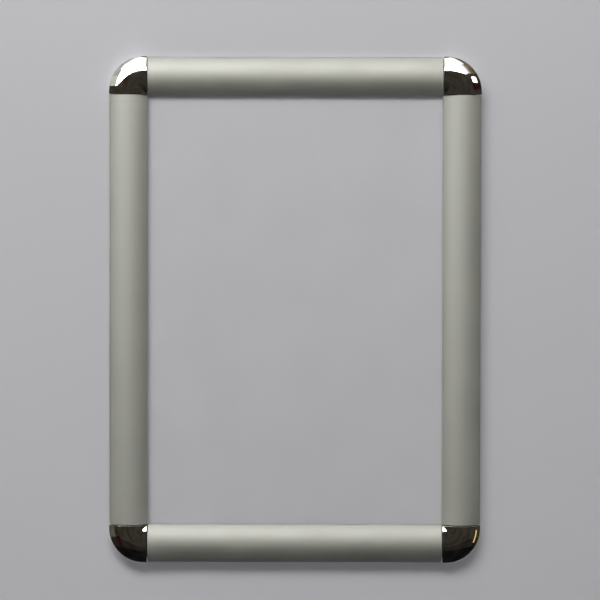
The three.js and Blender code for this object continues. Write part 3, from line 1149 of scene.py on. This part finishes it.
# What only the metal sees: patches of a sphere about the frame. Each has its left and its right
# end (azimuth, lowest and highest elevation), the sphere's radius, its strength and its darkest and
# lightest colour.
daylight = ((1, 1, 0.98), (1, 1, 0.98))
surroundings = {
    "room_walls": (
        (-94, -24, 35), (94, -24, 35), 3.0, 1, (0.024, 0.020, 0.015), (0.048, 0.041, 0.033),
    ),
    "room_skirting": (
        (-94, -38, -24), (94, -38, -24), 3.0, 1, (0.010, 0.009, 0.008), (0.026, 0.022, 0.018),
    ),
    "room_floor": (
        (-94, -89, -38), (94, -89, -38), 3.0, 1, (0.003, 0.003, 0.003), (0.009, 0.008, 0.008),
    ),
    "left_wall": ((-94, 30, 77), (-58, 30, 77), 2.9, 1, (0.36, 0.37, 0.35), (0.54, 0.55, 0.54)),
    "right_wall": ((58, 35, 77), (94, 35, 77), 2.9, 1, (0.05, 0.04, 0.025), (0.26, 0.21, 0.14)),
    "ceiling_end": ((-94, 77, 89), (94, 77, 89), 2.9, 1, (0.10, 0.10, 0.11), (0.16, 0.16, 0.17)),
    "window_foot": ((-58, 16, 42), (-25, 29.6, 42), 1.53, 9.8, *daylight),
    "window": ((-25, 29.6, 42), (42, 34, 42), 1.53, 9.4, *daylight),
    "window_end": ((42, 34, 54), (52, 36, 54), 1.53, 1.3, *daylight),
    "window_head": ((-66, 42, 54), (-34, 42, 54), 1.53, 4.8, *daylight),
    "blind": ((-34, 42, 54), (42, 42, 54), 1.53, 1.3, *daylight),
    "skylight": ((-66, 54, 77), (64, 54, 77), 1.53, 1.3, (1, 1, 1), (1, 1, 1)),
    "far_window": ((53, 21, 29.5), (70, 21, 29.5), 2.8, 5, (1, 1, 0.97), (1, 1, 0.97)),
    "green_curtain": ((-94, 15, 30), (-58, 15, 30), 2.8, 1, (0.48, 0.53, 0.42), (0.74, 0.80, 0.67)),
    "green_wall": (
        (-90, -24, -3), (-60, -22, -3), 2.8, 1, (0.05, 0.056, 0.034), (0.105, 0.112, 0.074),
    ),
    "red_cushion": (
        (-60, -38, -22), (-45, -36, -20), 2.8, 1, (0.012, 0.004, 0.004), (0.022, 0.006, 0.007),
    ),
    "red_chair": ((50, 9, 19), (84, 11, 20), 2.8, 1, (0.016, 0.005, 0.006), (0.036, 0.008, 0.010)),
    "warm_lamp": ((65, -31, -12), (70, -31, -12), 2.8, 1, (0.9, 0.62, 0.22), (0.9, 0.62, 0.22)),
    "back_window": ((145, 6, 48), (215, 6, 48), 2.6, 1, (1.0, 1.0, 1.0), (1.3, 1.3, 1.3)),
}
patchStep = 5                    # degrees, at most, from one row of a patch to the next


def mirrored(name, left, right, radius, strength, dark, light):
    across = evenly(left[0], right[0], ceil((right[0] - left[0]) / patchStep))
    lows = evenly(left[1], right[1], len(across) - 1)
    highs = evenly(left[2], right[2], len(across) - 1)
    count = ceil(max(left[2] - left[1], right[2] - right[1]) / patchStep)
    bm = bmesh.new()
    rows = [
        [bm.verts.new(radius * direction(a, e)) for e in evenly(low, high, count)]
        for a, low, high in zip(across, lows, highs)
    ]
    for near, far in zip(rows, rows[1:]):
        for i in range(1, len(near)):
            bm.faces.new((near[i - 1], near[i], far[i], far[i - 1]))
    mesh = finishes(newMesh(bm, name), glow(name, strength, dark, light))
    patch = bpy.data.objects.new(name, mesh)
    bpy.context.scene.collection.objects.link(patch)
    for rays in ("camera", "diffuse", "transmission", "shadow", "volume_scatter"):
        setattr(patch, f"visible_{rays}", False)


for name, settings in surroundings.items():
    mirrored(name, *settings)


def setWorld():
    world = bpy.data.worlds.new("room")
    bpy.context.scene.world = world
    world.use_nodes = True
    tree = world.node_tree
    tree.nodes.clear()
    rays = addNode(tree, "LightPath").outputs
    seen = maths(tree, "MAXIMUM", rays["Is Camera Ray"], rays["Is Glossy Ray"])
    seen = maths(tree, "MAXIMUM", seen, rays["Is Transmission Ray"])
    soft = addNode(tree, "Background", {"Color": (1, 1, 1, 1), "Strength": room["ambient"]})
    shown = addNode(tree, "Background", {"Color": (*room["wallColour"], 1), "Strength": 1.0})
    mixed = addNode(tree, "MixShader", {0: seen, 1: soft.outputs[0], 2: shown.outputs[0]})
    addNode(tree, "OutputWorld", {"Surface": mixed.outputs[0]})


setWorld()
bpy.context.scene.view_settings.view_transform = "Standard"
print("room and lamps made")


# The camera stands where the photograph was taken from

camera = {
    "place": (3.2, -1250, 32.5),
    "target": (3.2, 0, 6.5),
    "lens": 115.55,
    "roll": 0.11,
    "farthest": 50,              # that it sees, in metres
}

lens = bpy.data.cameras.new("camera")
lens.lens = camera["lens"]
lens.clip_end = camera["farthest"]
viewer = bpy.data.objects.new("camera", lens)
bpy.context.scene.collection.objects.link(viewer)
aimed(viewer, [c * mm for c in camera["place"]], [c * mm for c in camera["target"]], camera["roll"])
bpy.context.scene.camera = viewer
